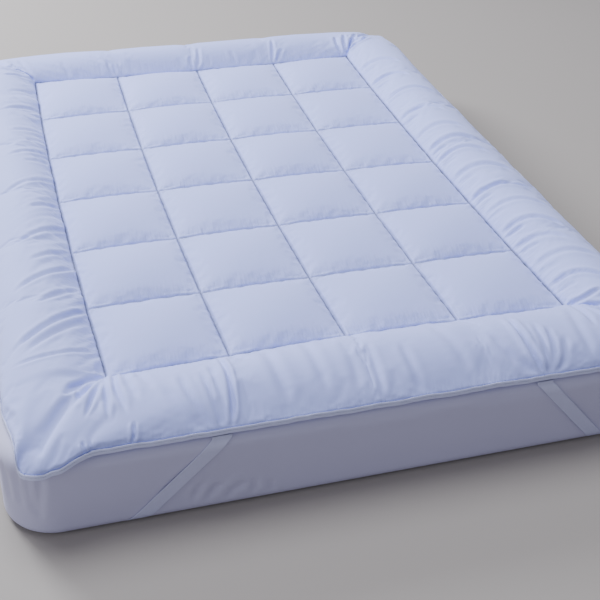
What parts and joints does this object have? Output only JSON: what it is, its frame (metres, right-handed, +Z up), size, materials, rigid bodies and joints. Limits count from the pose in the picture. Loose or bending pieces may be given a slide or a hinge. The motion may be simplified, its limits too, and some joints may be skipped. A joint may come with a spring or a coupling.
{
  "type": "mattress topper on a mattress",
  "caption": "Quilted mattress topper with a wide puffed border, a taped edge and elastic corner straps, lying on a plain mattress.",
  "frame": {"origin": "middle of the mattress's underside, on the surface it stands on", "axes": "+Z up, +Y along the bed towards the head end, +X across the bed to the right seen from the foot end"},
  "size_m": [1.3838, 1.8734, 0.23],
  "materials": {
    "topper_microfibre": "smooth matt brushed microfibre, cool white",
    "edge_tape": "matt woven tape, white",
    "elastic_webbing": "matt ribbed woven elastic, white",
    "mattress_cover": "smooth matt woven cotton cover, pale grey white"
  },
  "bodies": {
    "root": {"topper_pad": "topper_microfibre", "edge_binding": "edge_tape", "strap_front_left": "elastic_webbing", "strap_front_right": "elastic_webbing", "strap_back_left": "elastic_webbing", "strap_back_right": "elastic_webbing", "mattress": "mattress_cover"}
  },
  "joints": []
}
